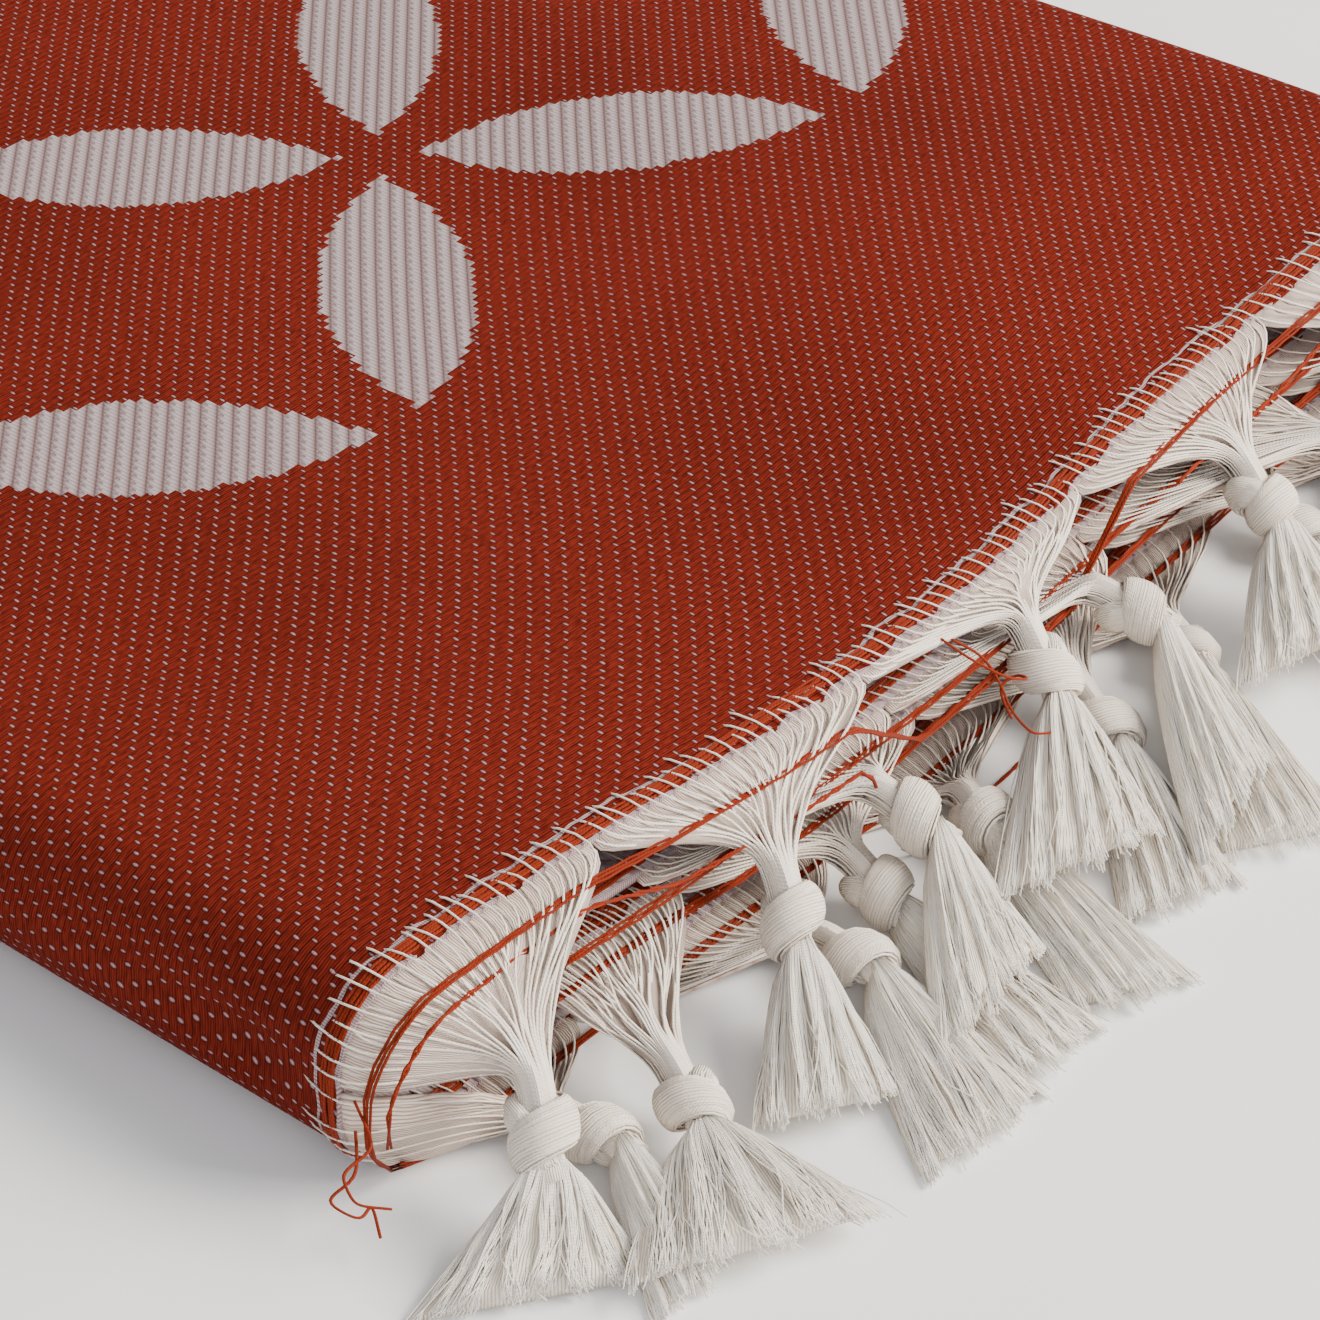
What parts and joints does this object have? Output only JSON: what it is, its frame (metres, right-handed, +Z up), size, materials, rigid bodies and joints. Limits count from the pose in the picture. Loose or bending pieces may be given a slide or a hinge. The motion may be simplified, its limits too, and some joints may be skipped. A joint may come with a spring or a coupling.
{
  "type": "folded hammam towel",
  "caption": "Flat-woven cotton hammam towel, folded into a flat rectangular stack, with knotted tassels along both ends.",
  "frame": {"origin": "middle of the underside of the whole towel's bounding box, on the floor it lies on", "axes": "+Z up; X along the warp, +X towards the front fringe; Y across the towel, -Y towards the near fold"},
  "size_m": [0.7072, 0.2658, 0.0292],
  "materials": {
    "woven_cotton": "flat-woven cotton, rust with off-white warp",
    "fringe_cotton": "loose off-white cotton warp ends"
  },
  "bodies": {
    "root": {"towel_cloth": "woven_cotton", "tassel_front_01": "fringe_cotton", "tassel_front_02": "fringe_cotton", "tassel_front_03": "fringe_cotton", "tassel_front_04": "fringe_cotton", "tassel_front_05": "fringe_cotton", "tassel_front_06": "fringe_cotton", "tassel_front_07": "fringe_cotton", "tassel_front_08": "fringe_cotton", "tassel_front_09": "fringe_cotton", "tassel_front_10": "fringe_cotton", "tassel_front_11": "fringe_cotton", "tassel_front_12": "fringe_cotton", "tassel_front_13": "fringe_cotton", "tassel_front_14": "fringe_cotton", "tassel_front_15": "fringe_cotton", "tassel_front_16": "fringe_cotton", "tassel_front_17": "fringe_cotton", "tassel_front_18": "fringe_cotton", "tassel_front_19": "fringe_cotton", "tassel_front_20": "fringe_cotton", "tassel_back_01": "fringe_cotton", "tassel_back_02": "fringe_cotton", "tassel_back_03": "fringe_cotton", "tassel_back_04": "fringe_cotton", "tassel_back_05": "fringe_cotton", "tassel_back_06": "fringe_cotton", "tassel_back_07": "fringe_cotton", "tassel_back_08": "fringe_cotton", "tassel_back_09": "fringe_cotton", "tassel_back_10": "fringe_cotton", "tassel_back_11": "fringe_cotton", "tassel_back_12": "fringe_cotton", "tassel_back_13": "fringe_cotton", "tassel_back_14": "fringe_cotton", "tassel_back_15": "fringe_cotton", "tassel_back_16": "fringe_cotton", "tassel_back_17": "fringe_cotton", "tassel_back_18": "fringe_cotton", "tassel_back_19": "fringe_cotton", "tassel_back_20": "fringe_cotton"}
  },
  "joints": []
}
